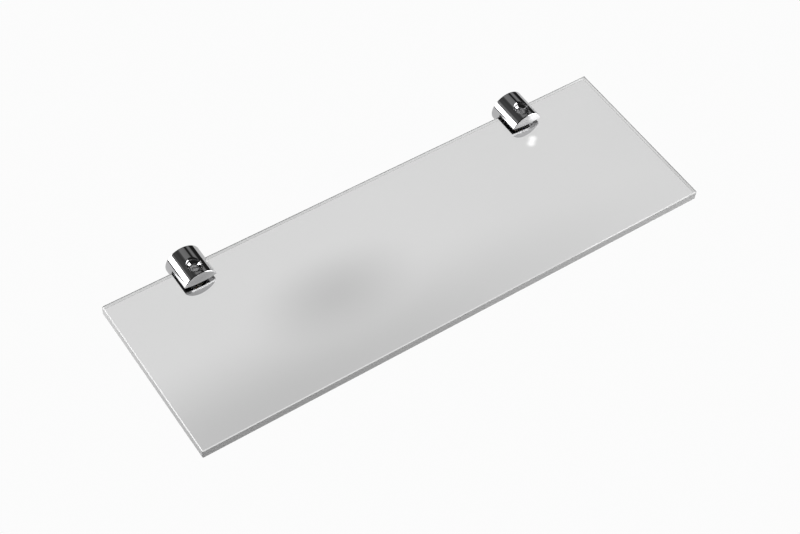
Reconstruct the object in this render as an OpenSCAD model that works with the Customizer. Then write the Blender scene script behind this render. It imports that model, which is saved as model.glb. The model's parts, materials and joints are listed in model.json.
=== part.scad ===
// Glass wall shelf held by two round clamp brackets.
// The origin lies on the wall plane, midway between the two wall holes.
// +X runs along the shelf, +Y points into the wall and +Z points up.

/* [Glass] */
// Length of the glass panel
glass_length = 400; // [340:10:600]
// Depth of the glass panel, back edge to front edge
glass_depth = 130; // [80:5:200]
// Thickness of the glass panel
glass_thickness = 8; // [6:1:8]
// Width of the ground and polished bevel on every glass edge
glass_arris = 0.6; // [0.2:0.1:1]

/* [Clamp body] */
// Diameter of the round clamp body
clamp_diameter = 26; // [25:0.5:30]
// Length of the clamp body, from the wall to its front rim
clamp_length = 25.5; // [25.5:0.5:32]
// Height of the slightly domed front face beyond the front rim
front_dome_height = 1; // [0.4:0.1:1.5]
// Distance between the two clamp centres, which is the wall hole spacing
clamp_spacing = 270; // [200:10:300]
// Depth of the glass slot, from the front rim
slot_depth = 17; // [15.5:0.5:17]
// Gap between the glass and the upper jaw
gap_above = 0.3; // [0.2:0.1:0.5]
// Gap between the glass and the lower jaw, taken up by the lower pad
gap_below = 1.3; // [1:0.1:1.5]
// Bevel along the front edge of the lower jaw
jaw_bevel = 1.1; // [0.5:0.1:1.2]
// Bevel on the front and back rims of the body
rim_bevel = 0.4; // [0.2:0.1:0.8]

/* [Clamp screw] */
// Thread diameter of the headless clamp screw
screw_diameter = 6; // [5:1:6]
// Distance from the clamp's front rim back to the screw's axis
screw_setback = 8.8; // [8.5:0.1:10]
// Diameter of the flat round seat that is cut into the crown of the body
seat_diameter = 10.5; // [10.2:0.1:11]
// Depth of the seat, measured at the crown
seat_depth = 1.6; // [1.2:0.1:1.8]
// Diameter of the screw hole's countersink, where it opens into the seat
hole_mouth_diameter = 9.3; // [9:0.1:10.1]
// Depth of the screw's top below the bottom of the countersink
screw_sink = 0.8; // [0.4:0.1:1]
// Upward travel of the screw and its pad when fully loosened
screw_travel = 1.5; // [1:0.1:1.5]
// Width of the driver slot across the top of the screw
driver_slot_width = 1.3; // [0.8:0.1:1.5]
// Depth of the driver slot
driver_slot_depth = 1.8; // [1:0.1:2]
// Angle of the left screw's driver slot from the X axis
left_driver_angle = -13; // [-90:1:90]
// Angle of the right screw's driver slot from the X axis
right_driver_angle = 86; // [-90:1:90]

/* [Pads] */
// Diameter of the pads that touch the glass
pad_diameter = 9; // [8:0.5:9.5]
// Thickness of the pressure pad under the screw
pad_thickness = 1.5; // [1.5:0.1:1.8]
// Thickness of the lower pad, part of which is let into the jaw
lower_pad_thickness = 2.2; // [2:0.1:2.5]
// Bevel on the rims of the pads
pad_bevel = 0.2; // [0.1:0.1:0.3]

/* [Wall disc] */
// Diameter of the disc that is screwed to the wall, hidden inside the clamp body
disc_diameter = 18; // [17:0.5:18]
// Thickness of the wall disc
disc_thickness = 6; // [6:0.5:6.5]
// Diameter of the wall screw's hole
wall_hole_diameter = 4.5; // [4:0.5:5]
// Diameter of the countersink for the wall screw's head
countersink_diameter = 9; // [8:0.5:9.5]

/* [Grub screw] */
// Thread diameter of the grub screw that locks the body to the wall disc
grub_diameter = 4; // [3:0.5:4]
// Size across the flats of the grub screw's hexagon socket
grub_hex = 2; // [1.5:0.5:2]

/* [Hidden] */
$fn = 96;

// Shares and clearances that stay the same at every size
running_gap = 0.05;
fixed_gap = 0.1;
pad_gap = 0.3;
edge_gap = 0.5;
screw_bevel = 0.3;
cut_over = 1;

body_radius = clamp_diameter / 2;
slot_end_y = slot_depth - clamp_length;
glass_back_y = slot_end_y - edge_gap;
glass_top = glass_thickness / 2;
slot_floor_z = -glass_top - gap_below;
slot_height = glass_thickness + gap_above + gap_below;
screw_y = screw_setback - clamp_length;

screw_radius = screw_diameter / 2;
screw_hole_radius = screw_radius + running_gap;
seat_z = body_radius - seat_depth;
hole_mouth_depth = hole_mouth_diameter / 2 - screw_hole_radius;
screw_top_z = seat_z - hole_mouth_depth - screw_sink;

pad_top_z = glass_top + pad_thickness;
pad_recess_top_z = pad_top_z + screw_travel + pad_gap;
spigot_radius = 1.7;
spigot_length = 0.9;

groove_y = -disc_thickness / 2;
groove_depth = 1.4;
groove_floor_half = 1.2;
groove_mouth_half = 2.3;
disc_recess_depth = disc_thickness + 0.2;
countersink_depth = (countersink_diameter - wall_hole_diameter) / 2;

grub_radius = grub_diameter / 2;
grub_sink = 0.3;
grub_point_length = 1;
grub_socket_depth = 2;
grub_base_z = grub_sink - body_radius;
grub_tip_z = groove_depth - disc_diameter / 2 - fixed_gap;
grub_length = grub_tip_z - grub_base_z;

chrome_color = [0.78, 0.79, 0.81];
glass_color = [0.83, 0.85, 0.85, 0.45];
nylon_color = [0.93, 0.93, 0.9];
rubber_color = [0.88, 0.89, 0.9];
zinc_color = [0.66, 0.67, 0.68];
black_steel_color = [0.2, 0.2, 0.21];

// Moves a clamp's pieces to the left (-1) or the right (1) clamp
module at_clamp(side) {
    translate([side * clamp_spacing / 2, 0, 0]) children();
}

// Turns a shape made along +Z to run along -Y, away from the wall
module along_minus_y() {
    rotate([90, 0, 0]) children();
}

// A turned cylinder with equal bevels on both rims, standing on z = 0
module beveled_cylinder(radius, height, bevel) {
    rotate_extrude()
        polygon([
            [0, 0],
            [radius - bevel, 0],
            [radius, bevel],
            [radius, height - bevel],
            [radius - bevel, height],
            [0, height]
        ]);
}

// A centred rectangle with its four corners cut off
module cut_corner_rectangle(width, height, cut) {
    half_w = width / 2;
    half_h = height / 2;
    polygon([
        [cut - half_w, -half_h], [half_w - cut, -half_h],
        [half_w, cut - half_h], [half_w, half_h - cut],
        [half_w - cut, half_h], [cut - half_w, half_h],
        [-half_w, half_h - cut], [-half_w, cut - half_h]
    ]);
}

// Flat polished panel, with a small bevel on all twelve edges
module glass_shelf() {
    color(glass_color)
    translate([0, glass_back_y - glass_depth / 2, 0])
    intersection() {
        linear_extrude(height = glass_thickness, center = true)
            cut_corner_rectangle(glass_length, glass_depth, glass_arris);
        rotate([90, 0, 0])
            linear_extrude(height = glass_depth, center = true)
                cut_corner_rectangle(glass_length, glass_thickness, glass_arris);
        rotate([90, 0, 90])
            linear_extrude(height = glass_length, center = true)
                cut_corner_rectangle(glass_depth, glass_thickness, glass_arris);
    }
}

// Slice of a sphere that stands on z = 0
module domed_end(radius, height) {
    sphere_radius = (pow(radius, 2) + pow(height, 2)) / (2 * height);
    intersection() {
        translate([0, 0, height - sphere_radius])
            sphere(r = sphere_radius);
        cylinder(r = radius, h = height + cut_over);
    }
}

// Solid clamp body before any holes are cut, with its domed front end
module clamp_blank() {
    along_minus_y() {
        beveled_cylinder(body_radius, clamp_length, rim_bevel);
        translate([0, 0, clamp_length])
            domed_end(body_radius - rim_bevel, front_dome_height);
    }
}

// Open-sided slot that takes the glass
module glass_slot() {
    front_reach = front_dome_height + cut_over;
    translate([-body_radius - cut_over, -clamp_length - front_reach, slot_floor_z])
        cube([clamp_diameter + 2 * cut_over, slot_depth + front_reach, slot_height]);
}

// What the bevel takes off the front edge of the lower jaw
module jaw_bevel_cut() {
    side = jaw_bevel * sqrt(2);
    translate([0, -clamp_length - front_dome_height, slot_floor_z])
        rotate([45, 0, 0])
            cube([clamp_diameter, side, side], center = true);
}

// Flat seat, countersink, threaded hole and pad recess, all on the clamp screw's axis
module screw_cavity() {
    translate([0, screw_y, seat_z])
        cylinder(d = seat_diameter, h = seat_depth + cut_over);
    translate([0, screw_y, seat_z - hole_mouth_depth])
        cylinder(r1 = screw_hole_radius, r2 = hole_mouth_diameter / 2, h = hole_mouth_depth);
    translate([0, screw_y, 0])
        cylinder(r = screw_hole_radius, h = body_radius);
    translate([0, screw_y, 0])
        cylinder(r = pad_diameter / 2 + pad_gap, h = pad_recess_top_z);
}

// Shallow pocket in the lower jaw for the lower pad
module lower_pad_pocket() {
    translate([0, screw_y, -glass_top - lower_pad_thickness])
        cylinder(r = pad_diameter / 2 + running_gap, h = lower_pad_thickness);
}

// Recess in the back face that covers the wall disc
module disc_recess() {
    translate([0, cut_over, 0])
        along_minus_y()
            cylinder(r = disc_diameter / 2 + fixed_gap, h = disc_recess_depth + cut_over);
}

// Threaded hole for the grub screw, from the underside into the disc recess
module grub_hole() {
    translate([0, groove_y, -body_radius - cut_over])
        cylinder(r = grub_radius + running_gap, h = body_radius);
}

module clamp_body() {
    color(chrome_color)
    difference() {
        clamp_blank();
        glass_slot();
        jaw_bevel_cut();
        screw_cavity();
        lower_pad_pocket();
        disc_recess();
        grub_hole();
    }
}

// Headless slotted screw with a small spigot that holds the pressure pad
module clamp_screw(driver_angle) {
    body_length = screw_top_z - pad_top_z - running_gap;
    color(chrome_color)
    translate([0, screw_y, screw_top_z])
    difference() {
        union() {
            translate([0, 0, -body_length])
                beveled_cylinder(screw_radius, body_length, screw_bevel);
            translate([0, 0, -body_length - spigot_length])
                cylinder(r = spigot_radius, h = spigot_length);
        }
        rotate([0, 0, driver_angle])
            translate([-screw_diameter, -driver_slot_width / 2, -driver_slot_depth])
                cube([2 * screw_diameter, driver_slot_width, driver_slot_depth + cut_over]);
    }
}

// Nylon disc between the screw and the glass, with a blind hole for the spigot
module pressure_pad() {
    color(nylon_color)
    translate([0, screw_y, glass_top])
    difference() {
        beveled_cylinder(pad_diameter / 2, pad_thickness, pad_bevel);
        translate([0, 0, pad_thickness - spigot_length - fixed_gap])
            cylinder(r = spigot_radius + fixed_gap, h = spigot_length + fixed_gap + cut_over);
    }
}

// Soft disc in the lower jaw that the glass rests on
module lower_pad() {
    color(rubber_color)
    translate([0, screw_y, -glass_top - lower_pad_thickness])
        beveled_cylinder(pad_diameter / 2, lower_pad_thickness, pad_bevel);
}

// Groove around the wall disc that the grub screw's point enters
module disc_groove() {
    disc_radius = disc_diameter / 2;
    floor_radius = disc_radius - groove_depth;
    outer_radius = disc_radius + cut_over;
    mouth_half = groove_mouth_half + (groove_mouth_half - groove_floor_half) * cut_over / groove_depth;
    translate([0, groove_y, 0])
        along_minus_y()
            rotate_extrude()
                polygon([
                    [floor_radius, -groove_floor_half],
                    [outer_radius, -mouth_half],
                    [outer_radius, mouth_half],
                    [floor_radius, groove_floor_half]
                ]);
}

// Turned disc with a countersunk hole for the wall screw
module wall_disc() {
    color(zinc_color)
    difference() {
        along_minus_y() cylinder(d = disc_diameter, h = disc_thickness);
        translate([0, cut_over, 0])
            along_minus_y()
                cylinder(d = wall_hole_diameter, h = disc_thickness + 2 * cut_over);
        translate([0, countersink_depth - disc_thickness, 0])
            along_minus_y()
                cylinder(d1 = wall_hole_diameter, d2 = countersink_diameter, h = countersink_depth);
        disc_groove();
    }
}

// Headless screw with a conical point and a hexagon socket in its lower end
module grub_screw() {
    straight_length = grub_length - grub_point_length;
    hex_radius = grub_hex / 2 / cos(30);
    color(black_steel_color)
    translate([0, groove_y, grub_base_z])
    difference() {
        union() {
            cylinder(r = grub_radius, h = straight_length);
            translate([0, 0, straight_length])
                cylinder(r1 = grub_radius, r2 = grub_radius / 2, h = grub_point_length);
        }
        translate([0, 0, -cut_over])
            cylinder(r = hex_radius, h = grub_socket_depth + cut_over, $fn = 6);
    }
}

module left_clamp_body() { at_clamp(-1) clamp_body(); }
module right_clamp_body() { at_clamp(1) clamp_body(); }
module left_clamp_screw() { at_clamp(-1) clamp_screw(left_driver_angle); }
module right_clamp_screw() { at_clamp(1) clamp_screw(right_driver_angle); }
module left_pressure_pad() { at_clamp(-1) pressure_pad(); }
module right_pressure_pad() { at_clamp(1) pressure_pad(); }
module left_lower_pad() { at_clamp(-1) lower_pad(); }
module right_lower_pad() { at_clamp(1) lower_pad(); }
module left_wall_disc() { at_clamp(-1) wall_disc(); }
module right_wall_disc() { at_clamp(1) wall_disc(); }
module left_grub_screw() { at_clamp(-1) grub_screw(); }
module right_grub_screw() { at_clamp(1) grub_screw(); }

glass_shelf();
left_clamp_body();
right_clamp_body();
left_clamp_screw();
right_clamp_screw();
left_pressure_pad();
right_pressure_pad();
left_lower_pad();
right_lower_pad();
left_wall_disc();
right_wall_disc();
left_grub_screw();
right_grub_screw();
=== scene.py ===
"""Looks for the glass wall shelf: detailed pieces, materials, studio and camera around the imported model.

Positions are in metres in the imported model's frame: +X along the shelf, +Y into the wall, +Z up.
The metal and plastic pieces are described by distance fields in millimetres, measured from the clamp's
axis at the wall plane (x = 0, y = 0, z = 0), and solid_mesh() turns each field into a smooth mesh.
"""

import json
import math

import bmesh
import bpy
import numpy as np
from mathutils import Matrix, Vector


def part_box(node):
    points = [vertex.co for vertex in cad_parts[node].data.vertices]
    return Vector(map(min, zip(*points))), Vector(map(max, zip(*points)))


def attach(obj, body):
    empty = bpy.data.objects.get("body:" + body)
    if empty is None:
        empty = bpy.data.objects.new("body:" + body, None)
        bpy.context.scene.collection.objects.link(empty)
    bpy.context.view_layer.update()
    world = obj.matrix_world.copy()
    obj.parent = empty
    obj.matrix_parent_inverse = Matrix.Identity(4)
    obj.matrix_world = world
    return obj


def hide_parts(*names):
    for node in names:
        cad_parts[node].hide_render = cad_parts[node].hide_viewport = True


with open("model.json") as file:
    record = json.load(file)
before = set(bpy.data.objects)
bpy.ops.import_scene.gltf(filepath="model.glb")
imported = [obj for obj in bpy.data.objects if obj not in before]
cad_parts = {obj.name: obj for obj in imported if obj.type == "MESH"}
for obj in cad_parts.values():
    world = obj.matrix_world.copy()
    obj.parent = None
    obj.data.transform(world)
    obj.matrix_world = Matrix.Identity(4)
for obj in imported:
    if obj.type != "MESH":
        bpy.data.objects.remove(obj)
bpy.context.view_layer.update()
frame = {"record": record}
MM = 0.001
SIDES = ("left", "right")


def node_box_mm(node):
    """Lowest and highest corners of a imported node, in millimetres."""
    low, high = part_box(node)
    return np.array(low) / MM, np.array(high) / MM


def clamp_axis_x(side):
    """Where a clamp's axis crosses the X axis, in millimetres."""
    low, high = node_box_mm(side + "_clamp_body")
    return (low[0] + high[0]) / 2


# ---------------------------------------------------------------- sizes taken from the frame, in mm
BODY_LOW, BODY_HIGH = node_box_mm("left_clamp_body")
SCREW_LOW, SCREW_HIGH = node_box_mm("left_clamp_screw")
PAD_LOW, PAD_HIGH = node_box_mm("left_pressure_pad")
LOWER_PAD_LOW, LOWER_PAD_HIGH = node_box_mm("left_lower_pad")
DISC_LOW, DISC_HIGH = node_box_mm("left_wall_disc")
GRUB_LOW, GRUB_HIGH = node_box_mm("left_grub_screw")
GLASS_LOW, GLASS_HIGH = node_box_mm("glass_shelf")
CLAMP_X = clamp_axis_x("left")

BODY_RADIUS = (BODY_HIGH[2] - BODY_LOW[2]) / 2
SCREW_Y = (SCREW_LOW[1] + SCREW_HIGH[1]) / 2
SCREW_RADIUS = (SCREW_HIGH[1] - SCREW_LOW[1]) / 2
SCREW_TOP = SCREW_HIGH[2]
SCREW_FOOT = SCREW_LOW[2]
PAD_RADIUS = (PAD_HIGH[1] - PAD_LOW[1]) / 2
DISC_RADIUS = (DISC_HIGH[2] - DISC_LOW[2]) / 2
DISC_BACK = DISC_LOW[1]
GRUB_RADIUS = (GRUB_HIGH[1] - GRUB_LOW[1]) / 2
GRUB_Y = (GRUB_LOW[1] + GRUB_HIGH[1]) / 2

# ---------------------------------------------------------------- sizes that a box can't show, in mm
# The clamp body
FRONT_DOME = 1.0
FRONT_RIM = -BODY_LOW[1] - FRONT_DOME
RIM_ROUND = 0.6
SLOT_END = GLASS_HIGH[1] + 0.5
SLOT_TOP = GLASS_HIGH[2] + 0.3
SLOT_FLOOR = GLASS_LOW[2] - 1.3
SLOT_ROUND = 0.25
JAW_BEVEL = 1.1
SEAT_RADIUS = 5.25
SEAT_DEPTH = 1.6
SEAT_ROUND = 0.15
MOUTH_RADIUS = 4.65
MOUTH_ROUND = 0.25
PAD_RECESS_GAP = 0.3
PAD_RECESS_TOP = 7.3
RECESS_RADIUS_GAP = 0.1
RECESS_DEPTH_GAP = 0.2
RECESS_ROUND = 0.2
RUNNING_GAP = 0.05
HOLE_ROUND = 0.1
GRUB_HOLE_ROUND = 0.15

# The clamp screw
SCREW_PITCH = 1.0
SCREW_BEVEL = 0.12
DRIVER_SLOT_HALF = 0.65
DRIVER_SLOT_DEPTH = 1.8
DRIVER_SLOT_ROUND = 0.1
DRIVER_ANGLES = {"left": -13.0, "right": 86.0}
SPIGOT_RADIUS = 1.7
SPIGOT_LENGTH = 0.9
SPIGOT_ROUND = 0.2
SPIGOT_ROOT = 0.5

# The pads and the wall disc
PAD_ROUND = 0.25
PAD_HOLE_GAP = 0.1
PAD_HOLE_ROUND = 0.12
WALL_HOLE_RADIUS = 2.25
WALL_HOLE_ROUND = 0.12
COUNTERSINK_RADIUS = 4.5
DISC_ROUND = 0.2
GROOVE_HALF = 1.2
GROOVE_DEPTH = 1.4
GROOVE_FLANK = 0.8
GROOVE_ROUND = 0.1

# The grub screw
GRUB_PITCH = 0.7
GRUB_HEX_HALF = 1.0
GRUB_SOCKET_DEPTH = 2.0
GRUB_SOCKET_ROUND = 0.06
GRUB_POINT_LENGTH = 1.0
GRUB_BEVEL = 0.3

# Threads: the depth in pitches, the flat share at crest and root, and how steep the flanks make
# the distance field
THREAD_DEPTH = 0.54
THREAD_FLAT = 0.15
THREAD_STEEPNESS = 1.25


# ---------------------------------------------------------------- distance fields
def round_both(a, b, radius):
    """What lies in both shapes, with the edge between them rounded."""
    corner = np.hypot(np.maximum(a + radius, 0), np.maximum(b + radius, 0))
    return np.minimum(np.maximum(a, b), -radius) + corner


def round_cut(solid, hole, radius):
    """The solid without the hole, with the hole's edge rounded."""
    return round_both(solid, -hole, radius)


def slab(value, low, high):
    """Between two planes."""
    return np.maximum(low - value, value - high)


def cylinder_z(x, y, radius):
    return np.hypot(x, y) - radius


def cone_z(x, y, z, radius, base):
    """Inside a 45 degree cone that has the given radius at z = base and widens upward."""
    return (np.hypot(x, y) - radius - (z - base)) * math.sqrt(0.5)


def thread(x, y, z, radius, pitch):
    """A right-handed V thread on a vertical rod."""
    turns = z / pitch - np.arctan2(y, x) / (2 * math.pi)
    ramp = np.abs(turns - np.round(turns)) * 2
    depth = THREAD_DEPTH * pitch * np.clip(ramp * (1 + 2 * THREAD_FLAT) - THREAD_FLAT, 0, 1)
    return (np.hypot(x, y) - radius + depth) / THREAD_STEEPNESS


def front_dome(x, y, z):
    """Inside the large sphere that shapes a clamp's front."""
    reach = BODY_RADIUS - RIM_ROUND
    sphere = (reach**2 + FRONT_DOME**2) / (2 * FRONT_DOME)
    return np.sqrt(x**2 + (y + FRONT_RIM + FRONT_DOME - sphere) ** 2 + z**2) - sphere


def slotted_body(x, y, z):
    """Domed round body along Y with the glass slot. The lower jaw's front edge is bevelled."""
    dome = front_dome(x, y, z)
    body = round_both(np.hypot(x, z) - BODY_RADIUS, y, RIM_ROUND)
    body = round_both(body, dome, RIM_ROUND)
    slot = np.maximum(slab(z, SLOT_FLOOR, SLOT_TOP), y - SLOT_END)
    body = round_cut(body, slot, SLOT_ROUND)
    bevel = (dome + z - SLOT_FLOOR + JAW_BEVEL) * math.sqrt(0.5)
    return np.where(z < 0, np.maximum(body, bevel), body)


def cut_screw_hole(body, x, depth, z):
    """Cut the flat seat on the crown, the countersunk mouth and the screw's hole."""
    seat_z = BODY_RADIUS - SEAT_DEPTH
    seat = np.maximum(cylinder_z(x, depth, SEAT_RADIUS), seat_z - z)
    body = round_cut(body, seat, SEAT_ROUND)
    mouth = np.maximum(cone_z(x, depth, z, MOUTH_RADIUS, seat_z), -z)
    body = round_cut(body, mouth, MOUTH_ROUND)
    hole = np.maximum(cylinder_z(x, depth, SCREW_RADIUS + RUNNING_GAP), -z)
    return round_cut(body, hole, HOLE_ROUND)


def cut_pad_places(body, x, depth, z):
    """Cut the room above the glass for the pressure pad and the pocket below it for the lower pad."""
    recess = np.maximum(cylinder_z(x, depth, PAD_RADIUS + PAD_RECESS_GAP), slab(z, 0, PAD_RECESS_TOP))
    body = round_cut(body, recess, HOLE_ROUND)
    pocket = np.maximum(cylinder_z(x, depth, PAD_RADIUS + RUNNING_GAP), slab(z, LOWER_PAD_LOW[2], 0))
    return round_cut(body, pocket, HOLE_ROUND)


def clamp_body_field(x, y, z):
    """The slotted body with the holes for its inner pieces."""
    body = slotted_body(x, y, z)
    body = cut_screw_hole(body, x, y - SCREW_Y, z)
    body = cut_pad_places(body, x, y - SCREW_Y, z)
    disc_end = DISC_BACK - RECESS_DEPTH_GAP - y
    disc = np.maximum(np.hypot(x, z) - DISC_RADIUS - RECESS_RADIUS_GAP, disc_end)
    body = round_cut(body, disc, RECESS_ROUND)
    grub = np.maximum(cylinder_z(x, y - GRUB_Y, GRUB_RADIUS + RUNNING_GAP), z)
    return round_cut(body, grub, GRUB_HOLE_ROUND)


def clamp_screw_field(x, y, z):
    """Headless slotted screw with a thread and a spigot. The driver slot runs along X."""
    depth = y - SCREW_Y
    radius = np.hypot(x, depth)
    shoulder = SCREW_FOOT + SPIGOT_LENGTH
    rod = thread(x, depth, z, SCREW_RADIUS, SCREW_PITCH)
    ends = slab(z, shoulder, SCREW_TOP)
    rod = np.maximum(rod, (radius - SCREW_RADIUS + SCREW_BEVEL + ends) * math.sqrt(0.5))
    rod = np.maximum(rod, ends)
    spigot = round_both(radius - SPIGOT_RADIUS, SCREW_FOOT - z, SPIGOT_ROUND)
    spigot = np.maximum(spigot, z - shoulder - SPIGOT_ROOT)
    rod = np.minimum(rod, spigot)
    driver = np.maximum(np.abs(depth) - DRIVER_SLOT_HALF, SCREW_TOP - DRIVER_SLOT_DEPTH - z)
    return round_cut(rod, driver, DRIVER_SLOT_ROUND)


def pressure_pad_field(x, y, z):
    """Disc with a blind hole above, which the clamp screw's spigot sits in."""
    radius = np.hypot(x, y - SCREW_Y)
    pad = round_both(radius - PAD_RADIUS, slab(z, PAD_LOW[2], PAD_HIGH[2]), PAD_ROUND)
    hole = np.maximum(radius - SPIGOT_RADIUS - PAD_HOLE_GAP, SCREW_FOOT - PAD_HOLE_GAP - z)
    return round_cut(pad, hole, PAD_HOLE_ROUND)


def lower_pad_field(x, y, z):
    radius = np.hypot(x, y - SCREW_Y)
    return round_both(radius - PAD_RADIUS, slab(z, LOWER_PAD_LOW[2], LOWER_PAD_HIGH[2]), PAD_ROUND)


def wall_disc_field(x, y, z):
    """Turned disc with a V groove round it and a countersunk hole, open towards the room."""
    radius = np.hypot(x, z)
    disc = round_both(radius - DISC_RADIUS, slab(y, DISC_BACK, 0), DISC_ROUND)
    root = DISC_RADIUS - GROOVE_DEPTH
    flanks = np.abs(y - DISC_BACK / 2) - GROOVE_HALF - (radius - root) * GROOVE_FLANK
    groove = np.maximum(flanks / math.hypot(1, GROOVE_FLANK), root - radius)
    disc = round_cut(disc, groove, GROOVE_ROUND)
    sink = (radius - COUNTERSINK_RADIUS + (y - DISC_BACK)) * math.sqrt(0.5)
    hole = np.minimum(radius - WALL_HOLE_RADIUS, sink)
    return round_cut(disc, hole, WALL_HOLE_ROUND)


def hexagon(x, y, half):
    """Inside a hexagonal prism along Z, with the given distance from its axis to each side."""
    sides = [x * math.cos(turn) + y * math.sin(turn) for turn in (0, math.pi / 3, 2 * math.pi / 3)]
    return np.max(np.abs(sides), axis=0) - half


def grub_screw_field(x, y, z):
    """Headless screw with a conical point upward and a hexagon socket below."""
    depth = y - GRUB_Y
    radius = np.hypot(x, depth)
    rod = thread(x, depth, z, GRUB_RADIUS, GRUB_PITCH)
    rod = np.maximum(rod, slab(z, GRUB_LOW[2], GRUB_HIGH[2]))
    slope = 0.5 * GRUB_RADIUS / GRUB_POINT_LENGTH
    point = radius - GRUB_RADIUS + (z - GRUB_HIGH[2] + GRUB_POINT_LENGTH) * slope
    rod = np.maximum(rod, point / math.hypot(1, slope))
    rod = np.maximum(rod, (radius - GRUB_RADIUS + GRUB_BEVEL - (z - GRUB_LOW[2])) * math.sqrt(0.5))
    socket = np.maximum(hexagon(x, depth, GRUB_HEX_HALF), z - GRUB_LOW[2] - GRUB_SOCKET_DEPTH)
    return round_cut(rod, socket, GRUB_SOCKET_ROUND)


# ---------------------------------------------------------------- from a field to a mesh
# How a mesh point is drawn to the surface. Reaches and moves are in grid steps.
REFINEMENTS = 4
SLOPE_REACH = 0.05
LONGEST_MOVE = 0.4
LEAST_SLOPE = 0.5


def edge_crossings(values):
    """For each grid cell, the mean place where the surface crosses its edges, in cells, and a count."""
    cells = tuple(n - 1 for n in values.shape)
    total = np.zeros(cells + (3,))
    count = np.zeros(cells)
    for axis in range(3):
        side_axes = [b for b in range(3) if b != axis]
        for corner in ((0, 0), (0, 1), (1, 0), (1, 1)):
            start = np.zeros(3, int)
            start[side_axes] = corner
            end = start.copy()
            end[axis] = 1
            near = values[tuple(slice(s, s + n) for s, n in zip(start, cells))]
            far = values[tuple(slice(s, s + n) for s, n in zip(end, cells))]
            crosses = (near < 0) != (far < 0)
            share = np.where(crosses, near / np.where(crosses, near - far, 1), 0)
            place = np.broadcast_to(start.astype(float), cells + (3,)).copy()
            place[..., axis] = share
            total += place * crosses[..., None]
            count += crosses
    return total, count


def grid_quads(values, index):
    """One quad round each grid edge that the surface crosses, wound so that it faces outward."""
    quads = []
    inside = values < 0
    for axis in range(3):
        b, c = (axis + 1) % 3, (axis + 2) % 3
        near = np.take(inside, range(inside.shape[axis] - 1), axis)
        far = np.take(inside, range(1, inside.shape[axis]), axis)
        at = np.argwhere(near != far)
        step_b, step_c = np.eye(3, dtype=int)[b], np.eye(3, dtype=int)[c]
        ring = [at, at - step_b, at - step_b - step_c, at - step_c]
        quad = np.stack([index[tuple(p.T)] for p in ring], 1)
        leaving = near[tuple(at.T)]
        quad[~leaving] = quad[~leaving][:, ::-1]
        quads.append(quad)
    return np.concatenate(quads)


def gradient(field, points, reach):
    """The field's slope along each axis at every point."""
    slopes = []
    for axis in range(3):
        shift = np.zeros(3)
        shift[axis] = reach
        ahead = field(*(points + shift).T)
        behind = field(*(points - shift).T)
        slopes.append((ahead - behind) / (2 * reach))
    return np.stack(slopes, 1)


def solid_mesh(name, field, low, high, step):
    """Mesh of the surface where the field is zero, with the field's own smooth normals. Units are mm."""
    margin = 1.5 * step
    axes = [np.arange(a - margin, b + 2 * margin, step) for a, b in zip(low, high)]
    values = field(*np.meshgrid(*axes, indexing="ij"))
    total, count = edge_crossings(values)
    mixed = count > 0
    index = np.full(mixed.shape, -1)
    index[mixed] = np.arange(mixed.sum())
    cells = np.argwhere(mixed)
    points = np.array([a[0] for a in axes]) + step * (cells + total[mixed] / count[mixed][:, None])
    for _ in range(REFINEMENTS):
        slope = gradient(field, points, SLOPE_REACH * step)
        steepness = np.maximum((slope**2).sum(1), LEAST_SLOPE**2)
        move = slope * (field(*points.T) / steepness)[:, None]
        points -= np.clip(move, -LONGEST_MOVE * step, LONGEST_MOVE * step)
    normals = gradient(field, points, SLOPE_REACH * step)
    mesh = bpy.data.meshes.new(name)
    mesh.from_pydata(points.tolist(), [], grid_quads(values, index).tolist())
    mesh.validate()
    mesh.shade_smooth()
    mesh.normals_split_custom_set_from_vertices(normals.tolist())
    return mesh


def place_piece(mesh, side, node, turn=0.0, pivot=(0, 0)):
    """A copy of a mesh that is drawn round the origin, moved to its clamp and tied to its CAD node."""
    copy = mesh.copy()
    centre = Matrix.Translation((*pivot, 0))
    about = centre @ Matrix.Rotation(math.radians(turn), 4, "Z") @ centre.inverted()
    move = Matrix.Translation((clamp_axis_x(side), 0, 0))
    copy.transform(Matrix.Scale(MM, 4) @ move @ about)
    piece = bpy.data.objects.new(side + "_" + node + "_detailed", copy)
    bpy.context.scene.collection.objects.link(piece)
    bodies = frame["record"]["behaviour"]["bodies"]
    body = next(name for name, nodes in bodies.items() if side + "_" + node in nodes)
    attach(piece, body)
    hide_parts(side + "_" + node)


# ---------------------------------------------------------------- material helpers
def new_material(name):
    """A material with an empty node tree and its output node."""
    material = bpy.data.materials.new(name)
    material.use_nodes = True
    tree = material.node_tree
    tree.nodes.clear()
    output = tree.nodes.new("ShaderNodeOutputMaterial")
    return material, tree, output


def principled(tree, output, **values):
    """A principled shader with the given inputs. An underscore stands for a space in an input's name."""
    shader = tree.nodes.new("ShaderNodeBsdfPrincipled")
    for name, value in values.items():
        shader.inputs[name.replace("_", " ")].default_value = value
    tree.links.new(shader.outputs[0], output.inputs["Surface"])
    return shader


def object_place(tree):
    return tree.nodes.new("ShaderNodeTexCoord").outputs["Object"]


def noise(tree, scale, detail=3.0, stretch=(1, 1, 1)):
    """A noise value from 0 to 1. The scale counts features per metre."""
    mapping = tree.nodes.new("ShaderNodeMapping")
    mapping.inputs["Scale"].default_value = stretch
    tree.links.new(object_place(tree), mapping.inputs["Vector"])
    node = tree.nodes.new("ShaderNodeTexNoise")
    node.inputs["Scale"].default_value = scale
    node.inputs["Detail"].default_value = detail
    tree.links.new(mapping.outputs[0], node.inputs["Vector"])
    return node.outputs[0]


def remap(tree, value, low, high, new_low, new_high):
    """The value stretched from one span to another, and held at the new span's ends."""
    node = tree.nodes.new("ShaderNodeMapRange")
    node.clamp = True
    for socket, number in zip(node.inputs[1:5], (low, high, new_low, new_high)):
        socket.default_value = number
    tree.links.new(value, node.inputs[0])
    return node.outputs[0]


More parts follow.
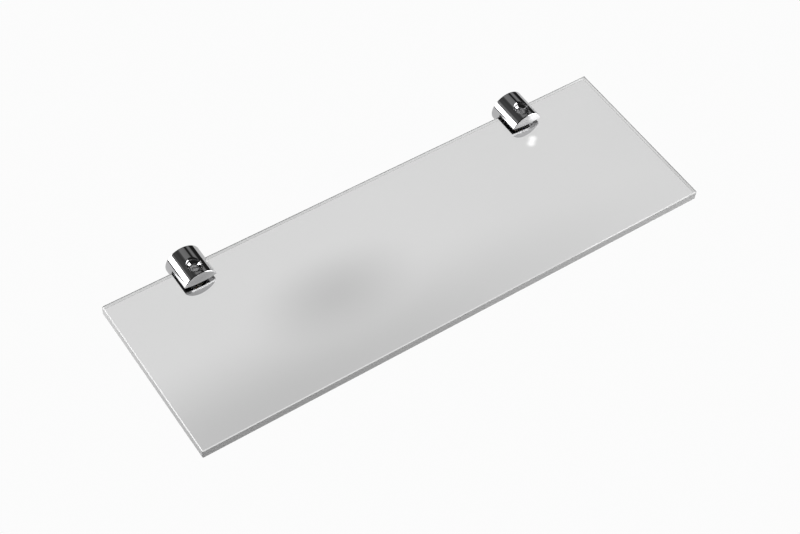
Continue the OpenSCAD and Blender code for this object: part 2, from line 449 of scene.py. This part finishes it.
def multiply(tree, first, second):
    node = tree.nodes.new("ShaderNodeMath")
    node.operation = "MULTIPLY"
    tree.links.new(first, node.inputs[0])
    tree.links.new(second, node.inputs[1])
    return node.outputs[0]


def paint(tree, shader, factor, first, second):
    """Give the shader a base colour that varies between two colours."""
    node = tree.nodes.new("ShaderNodeMix")
    node.data_type = "RGBA"
    node.inputs["A"].default_value = (*first, 1)
    node.inputs["B"].default_value = (*second, 1)
    tree.links.new(factor, node.inputs["Factor"])
    tree.links.new(node.outputs["Result"], shader.inputs["Base Color"])


def roughen(tree, shader, value, span, roughness):
    """Give the shader a roughness that goes from one end to the other over the value's span."""
    tree.links.new(remap(tree, value, *span, *roughness), shader.inputs["Roughness"])


def bump(tree, shader, height, strength, distance):
    """Small unevenness. The distance is in metres."""
    node = tree.nodes.new("ShaderNodeBump")
    node.inputs["Strength"].default_value = strength
    node.inputs["Distance"].default_value = distance
    tree.links.new(height, node.inputs["Height"])
    tree.links.new(node.outputs[0], shader.inputs["Normal"])


# ---------------------------------------------------------------- materials
def chrome_material():
    """Bright plating with faint polishing marks along the body and a little haze."""
    material, tree, output = new_material("chrome_plating")
    metal = principled(tree, output, Metallic=1.0)
    haze = noise(tree, 160, 4)
    paint(tree, metal, haze, (0.68, 0.68, 0.69), (0.74, 0.74, 0.745))
    roughen(tree, metal, haze, (0.35, 0.75), (0.02, 0.07))
    bump(tree, metal, noise(tree, 900, 2, (1, 0.08, 1)), 0.02, 0.0002)
    return material


def screw_material():
    """Satin plated screw, duller than the clamp bodies."""
    material, tree, output = new_material("plated_screw")
    metal = principled(tree, output, Metallic=0.45)
    wear = noise(tree, 700, 4)
    paint(tree, metal, wear, (0.8, 0.8, 0.81), (0.9, 0.9, 0.905))
    roughen(tree, metal, wear, (0.3, 0.7), (0.24, 0.36))
    bump(tree, metal, noise(tree, 3500, 2), 0.08, 0.0001)
    return material


def nylon_material():
    """Off-white nylon with a slight glow under its surface."""
    material, tree, output = new_material("natural_nylon")
    plastic = principled(tree, output, Roughness=0.42, Subsurface_Weight=0.3)
    plastic.inputs["Subsurface Radius"].default_value = (0.002, 0.0018, 0.0014)
    paint(tree, plastic, noise(tree, 500), (0.82, 0.81, 0.75), (0.88, 0.87, 0.82))
    bump(tree, plastic, noise(tree, 6000), 0.15, 0.0001)
    return material


def rubber_material():
    """Grey, slightly clear soft plastic."""
    material, tree, output = new_material("pad_rubber")
    soft = principled(tree, output, Transmission_Weight=0.25, IOR=1.5)
    grain = noise(tree, 4000)
    paint(tree, soft, grain, (0.55, 0.55, 0.55), (0.66, 0.66, 0.66))
    roughen(tree, soft, grain, (0.3, 0.7), (0.4, 0.6))
    bump(tree, soft, grain, 0.2, 0.0001)
    return material


def zinc_material():
    """Steel under zinc plating, a little patchy."""
    material, tree, output = new_material("turned_zinc")
    metal = principled(tree, output, Metallic=1.0)
    patches = noise(tree, 300)
    paint(tree, metal, patches, (0.5, 0.52, 0.55), (0.66, 0.67, 0.68))
    roughen(tree, metal, patches, (0.3, 0.7), (0.22, 0.4))
    bump(tree, metal, noise(tree, 2500, 2), 0.2, 0.0001)
    return material


def black_oxide_material():
    """Blackened steel, nearly dull."""
    material, tree, output = new_material("black_oxide_steel")
    metal = principled(tree, output, Metallic=0.85)
    patches = noise(tree, 900)
    paint(tree, metal, patches, (0.02, 0.02, 0.022), (0.06, 0.06, 0.062))
    roughen(tree, metal, patches, (0.3, 0.7), (0.32, 0.5))
    bump(tree, metal, noise(tree, 5000), 0.2, 0.0001)
    return material


# Each finish changes along one axis. Its row has the axis, the span in metres, the tone and the
# clearness at the span's two ends, and the roughness. The front and left edges are ground. The front
# edge's rising tone is painted light: it brightens the edge towards the right, where the right
# softbox stands. The left edge gets a little lighter towards the back. The far edges are clear in
# their lower half and nearly solid in their upper half. There their dark tone is a painted dark line
# of shade.
ALONG = (GLASS_LOW[0] * MM, GLASS_HIGH[0] * MM)
ACROSS = (GLASS_LOW[1] * MM, GLASS_HIGH[1] * MM)
GLASS_FINISHES_AND_PAINTED_SHADING = {
    "glass_face": ("X", ALONG, (0.69, 0.69), (1.0, 1.0), 0.01),
    "glass_bevel": ("X", ALONG, (0.8, 0.8), (1.0, 1.0), 0.08),
    # Painted light: the front edge's tone brightens towards the right.
    "glass_front_edge": ("X", ALONG, (0.82, 1.0), (0.45, 0.45), 0.14),
    # Painted shade: the far edges' dark, nearly solid upper half draws a dark line.
    "glass_far_edge": ("Z", (0.0006, 0.0018), (0.9, 0.25), (1.0, 0.05), 0.02),
    "glass_left_edge": ("Y", ACROSS, (0.95, 1.0), (0.4, 0.2), 0.14),
}
FINISH_NAMES = list(GLASS_FINISHES_AND_PAINTED_SHADING)


def glass_material(name, axis, span, tone, clearness, roughness):
    """Neutral glass with slightly uneven tone and a trace of dust and smudges. Its tone and clearness
    also change along one axis. On the front edge that is painted light, and on the far edges it is painted
    shade.
    """
    material, tree, output = new_material(name)
    glass = principled(tree, output, IOR=1.5)
    split = tree.nodes.new("ShaderNodeSeparateXYZ")
    tree.links.new(object_place(tree), split.inputs[0])
    place = split.outputs[axis]
    unevenness = remap(tree, noise(tree, 9, 2), 0.3, 0.7, 0.985, 1.0)
    color = multiply(tree, remap(tree, place, *span, *tone), unevenness)
    tree.links.new(color, glass.inputs["Base Color"])
    roughen(tree, glass, noise(tree, 14, 5), (0.5, 0.8), (0.4 * roughness, roughness))
    tree.links.new(remap(tree, place, *span, *clearness), glass.inputs["Transmission Weight"])
    return material


def glass_finish(normal):
    """The name of the finish of the panel's flat part that faces this way."""
    if abs(normal.z) > 0.9:
        return "glass_face"
    if abs(normal.z) > 0.35:
        return "glass_bevel"
    if max(normal.x, normal.y) > 0.5:
        return "glass_far_edge"
    if normal.x < -0.5:
        return "glass_left_edge"
    return "glass_front_edge"


# ---------------------------------------------------------------- glass
# The widths of the small bevels round the panel, in mm. The lower ones at the back and at the right
# are narrower, so that no second dark line shows along those edges.
ARRIS = 0.6
FAR_LOWER_ARRIS = 0.15


def cut_edge(form, middle, half, first, second, signs):
    """Bevel the edge between two of the box's faces. Each face is given by its axis and its sign."""
    normal = Vector((0, 0, 0))
    normal[first], normal[second] = signs
    far_lower = second == 2 and signs == (1, -1)
    width = FAR_LOWER_ARRIS if far_lower else ARRIS
    point = middle.copy()
    point[first] += signs[0] * (half[first] - width)
    point[second] += signs[1] * half[second]
    everything = form.verts[:] + form.edges[:] + form.faces[:]
    plane = {"plane_co": point, "plane_no": normal}
    cut = bmesh.ops.bisect_plane(form, geom=everything, clear_outer=True, **plane)
    rim = [part for part in cut["geom_cut"] if isinstance(part, bmesh.types.BMEdge)]
    bmesh.ops.contextual_create(form, geom=rim)


def make_glass():
    """The panel with its arrises, each one flat bevel."""
    mesh = bpy.data.meshes.new("glass")
    form = bmesh.new()
    bmesh.ops.create_cube(form, size=1)
    size = GLASS_HIGH - GLASS_LOW
    middle = (GLASS_HIGH + GLASS_LOW) / 2
    form.transform(Matrix.Translation(middle) @ Matrix.Diagonal((*size, 1)))
    for first, second in ((0, 1), (0, 2), (1, 2)):
        for signs in ((1, 1), (1, -1), (-1, 1), (-1, -1)):
            cut_edge(form, Vector(middle), size / 2, first, second, signs)
    bmesh.ops.recalc_face_normals(form, faces=form.faces[:])
    form.transform(Matrix.Scale(MM, 4))
    form.to_mesh(mesh)
    form.free()
    piece = bpy.data.objects.new("glass_panel", mesh)
    bpy.context.scene.collection.objects.link(piece)
    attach(piece, "glass")
    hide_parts("glass_shelf")
    for name, finish in GLASS_FINISHES_AND_PAINTED_SHADING.items():
        mesh.materials.append(glass_material(name, *finish))
    for polygon in mesh.polygons:
        polygon.material_index = FINISH_NAMES.index(glass_finish(polygon.normal))


# ---------------------------------------------------------------- clamps
# More room for the grid in front of the domed face, in mm
FRONT_ROOM = np.array([0, 0.2, 0])


def make_clamps():
    """Every piece of the clamps. A row has the node, its field, its box, its grid step and its looks."""
    chrome, nylon, rubber = chrome_material(), nylon_material(), rubber_material()
    zinc, black = zinc_material(), black_oxide_material()
    shift = np.array([CLAMP_X, 0, 0])
    recipes = (
        ("clamp_body", clamp_body_field, BODY_LOW - FRONT_ROOM, BODY_HIGH, 0.32, chrome, "chrome"),
        ("clamp_screw", clamp_screw_field, SCREW_LOW, SCREW_HIGH, 0.12, screw_material(), "chrome"),
        ("pressure_pad", pressure_pad_field, PAD_LOW, PAD_HIGH, 0.2, nylon, "nylon"),
        ("lower_pad", lower_pad_field, LOWER_PAD_LOW, LOWER_PAD_HIGH, 0.2, rubber, "pad_rubber"),
        ("wall_disc", wall_disc_field, DISC_LOW, DISC_HIGH, 0.25, zinc, "zinc"),
        ("grub_screw", grub_screw_field, GRUB_LOW, GRUB_HIGH, 0.1, black, "black_steel"),
    )
    for node, field, low, high, step, material, slot in recipes:
        mesh = solid_mesh(node, field, low - shift, high - shift, step)
        mesh.materials.append(material)
        for side in SIDES:
            turn = DRIVER_ANGLES[side] if node == "clamp_screw" else 0
            place_piece(mesh, side, node, turn, (0, SCREW_Y))


# ---------------------------------------------------------------- studio
# Lengths in metres, and levels of brightness where 1 is white. ABOVE_HORIZON is the span of upward
# slopes over which the surroundings, seen through the glass, go from pale to the room's level.
FLOOR_DROP = 0.6
FLOOR_HALF = 6.0
LAMP_DISTANCE = 1.3
LAMP_BAR = 0.15
PALE = 0.97
FLOOR_IN_CHROME = 0.6
POOL_IN_CHROME = 0.9
FLOOR_THROUGH_GLASS = 1.06
BRIGHTEST_SHADE = 2
ROOM_LEVEL = 0.02
ROOM_ABOVE_GLASS = 0.3
ABOVE_HORIZON = (0.3, 0.6)


def flat_card(name, width, height):
    """A level rectangle that belongs to the studio and not to the shelf."""
    mesh = bpy.data.meshes.new(name)
    x, y = width / 2, height / 2
    mesh.from_pydata([(-x, -y, 0), (x, -y, 0), (x, y, 0), (-x, y, 0)], [], [(0, 1, 2, 3)])
    card = bpy.data.objects.new(name, mesh)
    bpy.context.scene.collection.objects.link(card)
    return card


def emission(tree, output, strength):
    light = tree.nodes.new("ShaderNodeEmission")
    light.inputs["Strength"].default_value = strength
    tree.links.new(light.outputs[0], output.inputs["Surface"])
    return light


def choose(tree, factor, first, second):
    """The first value where the factor is 0 and the second where it is 1. Either can be a number."""
    node = tree.nodes.new("ShaderNodeMix")
    for socket, value in ((node.inputs["A"], first), (node.inputs["B"], second)):
        if isinstance(value, float):
            socket.default_value = value
        else:
            tree.links.new(value, socket)
    tree.links.new(factor, node.inputs["Factor"])
    return node.outputs[0]


def ray_kind(tree, kind):
    """1 for light paths of this kind, and 0 for others."""
    return tree.nodes.new("ShaderNodeLightPath").outputs["Is " + kind + " Ray"]


def soft_spot(tree, place, middle, reach):
    """1 at the middle of a soft ellipse on the floor, falling to 0 at its rim."""
    mapping = tree.nodes.new("ShaderNodeMapping")
    mapping.vector_type = "TEXTURE"
    mapping.inputs["Location"].default_value = (*middle, 0)
    mapping.inputs["Scale"].default_value = (*reach, 1)
    tree.links.new(place, mapping.inputs["Vector"])
    length = tree.nodes.new("ShaderNodeVectorMath")
    length.operation = "LENGTH"
    tree.links.new(mapping.outputs[0], length.inputs[0])
    fade = tree.nodes.new("ShaderNodeMapRange")
    fade.interpolation_type = "SMOOTHSTEP"
    fade.inputs["To Min"].default_value = 1
    fade.inputs["To Max"].default_value = 0
    tree.links.new(length.outputs["Value"], fade.inputs[0])
    return fade.outputs[0]


# Painted shade and painted light on the floor's glow, which show only through the glass. Each row
# has the spot's middle and reach in metres, and how bright it is there compared with the rest.
PAINTED_FLOOR_LIGHT_AND_SHADE = {
    "wide shade": ((0.05, 0.19), (0.62, 0.11), 0.76),
    "painted dark shade": ((0.188, 0.284), (0.12, 0.065), 0.79),
    "light thrown by the right clamp": ((0.5096, 0.3496), (0.008, 0.007), 1.6),
    "the rest of that light": ((0.5036, 0.3446), (0.008, 0.007), 1.6),
    "shade seen in the clamps' fronts": ((0.1, -0.65), (0.45, 0.4), 0.65),
    "light seen in the right clamp's front": ((0.8, -0.56), (0.24, 0.35), 5.0),
}
# Middle and reach of a pool of light painted on the floor, which shows only in the chrome.
LIGHT_POOL = ((0.4, -0.26), (0.6, 0.3))


def floor_through_glass(tree, place):
    """How bright the floor is when it is seen through the glass, with its painted shade and light spots.
    """
    level = None
    # Each spot is painted shade or painted light on the floor's glow.
    for middle, reach, brightness in PAINTED_FLOOR_LIGHT_AND_SHADE.values():
        shade = remap(tree, soft_spot(tree, place, middle, reach), 0, 1, 1, brightness)
        level = shade if level is None else multiply(tree, level, shade)
    return remap(tree, level, 0, BRIGHTEST_SHADE, 0, BRIGHTEST_SHADE * FLOOR_THROUGH_GLASS)


def add_floor():
    """A plain pale floor that is lit evenly. Through the glass it shows painted soft shade and light
    spots, and in the chrome a dimmer floor with a painted pool of light.
    """
    floor = flat_card("floor", 2 * FLOOR_HALF, 2 * FLOOR_HALF)
    floor.location.z = -FLOOR_DROP
    material, tree, output = new_material("floor")
    place = object_place(tree)
    through = floor_through_glass(tree, place)
    # Painted pool of light: the floor is brighter there in reflections only.
    pool = remap(tree, soft_spot(tree, place, *LIGHT_POOL), 0, 1, FLOOR_IN_CHROME, POOL_IN_CHROME)
    level = choose(tree, ray_kind(tree, "Camera"), pool, PALE)
    level = choose(tree, ray_kind(tree, "Transmission"), level, through)
    light = emission(tree, output, 1.0)
    tree.links.new(level, light.inputs["Strength"])
    floor.data.materials.append(material)


def upright_card(name, azimuth, bottom, top, width, material):
    """A card that stands round the shelf and faces it. The camera never sees it directly."""
    angle = math.radians(azimuth)
    outward = Vector((math.cos(angle), math.sin(angle), 0))
    turn = (-outward).to_track_quat("Z", "Y").to_matrix().to_4x4()
    card = flat_card(name, width, top - bottom)
    middle = outward * LAMP_DISTANCE + Vector((0, 0, (bottom + top) / 2))
    card.matrix_world = Matrix.Translation(middle) @ turn
    card.data.materials.append(material)
    card.visible_camera = False
    return card


def lamp_face(name, strength):
    """A material that gives off an even white light."""
    material, tree, output = new_material(name + "_face")
    emission(tree, output, strength)
    return material


def add_softbox(name, azimuth, low, high, width, strength):
    """A lamp with a dark bar below it. It shows only as light and in reflections."""
    white = lamp_face(name, strength)
    black, tree, output = new_material(name + "_bar")
    principled(tree, output, Base_Color=(0.01, 0.01, 0.01, 1), Roughness=0.8)
    lamp = upright_card(name, azimuth, low, high, width, white)
    bar = upright_card(name + "_bar", azimuth, low - LAMP_BAR, low, width, black)
    lamp.visible_transmission = False
    bar.visible_transmission = False


def add_overhead(height, width, strength):
    """A lamp above the shelf that lights the dull surfaces and doesn't show in the polished ones."""
    card = flat_card("overhead", width, width)
    card.matrix_world = Matrix.Translation((0, 0, height)) @ Matrix.Rotation(math.pi, 4, "X")
    card.data.materials.append(lamp_face("overhead", strength))
    card.visible_camera = False
    card.visible_glossy = False
    card.visible_transmission = False


def add_glint(azimuth, low, high, width, strength):
    """A light that shows only in the metal under the glass, as a bright line along its edges."""
    card = upright_card("glint", azimuth, low, high, width, lamp_face("glint", strength))
    card.visible_diffuse = False
    card.visible_glossy = False


# The soft light patches above that the chrome reflects. Each row has the direction, the radius and the
# width of the soft edge in degrees, and the brightness.
ROOM_PATCHES = (
    ((0.18, 0.475, 0.86), 14, 4, 0.155),
    ((0.05, 0.475, 0.87), 4, 22, 0.08),
    ((0.71, 0.475, 0.52), 4, 8, 0.26),
    ((-0.53, 0.475, 0.70), 8, 8, 0.06),
    ((-0.77, 0.475, 0.43), 7, 8, 0.25),
)


def room_patch(tree, direction, middle, radius, soft, brightness):
    """The brightness that one round patch adds, at each direction."""
    dot = tree.nodes.new("ShaderNodeVectorMath")
    dot.operation = "DOT_PRODUCT"
    dot.inputs[1].default_value = Vector(middle).normalized()
    tree.links.new(direction, dot.inputs[0])
    outer = math.cos(math.radians(radius + soft))
    inner = math.cos(math.radians(radius))
    return remap(tree, dot.outputs["Value"], outer, inner, 0, brightness)


def set_world():
    """Pale behind the shelf. In reflections, a dim room with a few soft lighter patches above."""
    world = bpy.data.worlds.new("world")
    world.use_nodes = True
    tree = world.node_tree
    tree.nodes.clear()
    output = tree.nodes.new("ShaderNodeOutputWorld")
    background = tree.nodes.new("ShaderNodeBackground")
    tree.links.new(background.outputs[0], output.inputs["Surface"])
    direction = tree.nodes.new("ShaderNodeTexCoord").outputs["Generated"]
    level = None
    for patch in ROOM_PATCHES:
        total = tree.nodes.new("ShaderNodeMath")
        total.operation = "ADD"
        tree.links.new(room_patch(tree, direction, *patch), total.inputs[0])
        total.inputs[1].default_value = ROOM_LEVEL
        if level is not None:
            tree.links.new(level, total.inputs[1])
        level = total.outputs[0]
    height = tree.nodes.new("ShaderNodeSeparateXYZ")
    tree.links.new(direction, height.inputs[0])
    through = remap(tree, height.outputs["Z"], *ABOVE_HORIZON, PALE, ROOM_ABOVE_GLASS)
    level = choose(tree, ray_kind(tree, "Camera"), level, PALE)
    level = choose(tree, ray_kind(tree, "Transmission"), level, through)
    tree.links.new(level, background.inputs["Strength"])
    bpy.context.scene.world = world


# ---------------------------------------------------------------- camera
# Fitted to the view of the shelf. The two lens values are in millimetres.
CAMERA_PLACE = Vector((-454.0, -636.0, 926.7)) * MM
CAMERA_FORWARD = Vector((0.3774, 0.4751, -0.7949))
CAMERA_RIGHT = Vector((0.8266, -0.5598, 0.0579))
FOCAL_LENGTH = 77.85
SENSOR_WIDTH = 36.0


def add_camera():
    """The camera looks down at the glass from the front left, turned a little about its own axis."""
    forward = CAMERA_FORWARD.normalized()
    right = (CAMERA_RIGHT - forward * CAMERA_RIGHT.dot(forward)).normalized()
    up = right.cross(forward)
    data = bpy.data.cameras.new("camera")
    data.lens = FOCAL_LENGTH
    data.sensor_width = SENSOR_WIDTH
    data.clip_start = 0.01
    data.clip_end = 50
    camera = bpy.data.objects.new("camera", data)
    axes = Matrix((right, up, -forward)).transposed()
    camera.matrix_world = Matrix.Translation(CAMERA_PLACE) @ axes.to_4x4()
    bpy.context.scene.collection.objects.link(camera)
    bpy.context.scene.camera = camera


bpy.context.scene.view_settings.view_transform = "Standard"
add_camera()
make_glass()
make_clamps()
add_floor()
add_softbox("left_softbox", 149, low=-0.03, high=0.58, width=1.2, strength=4.5)
add_softbox("right_softbox", -34, low=-0.25, high=0.75, width=1.2, strength=3.8)
add_overhead(height=1.5, width=1.0, strength=2.5)
add_glint(-60, low=0.55, high=1.0, width=1.3, strength=2.6)
set_world()
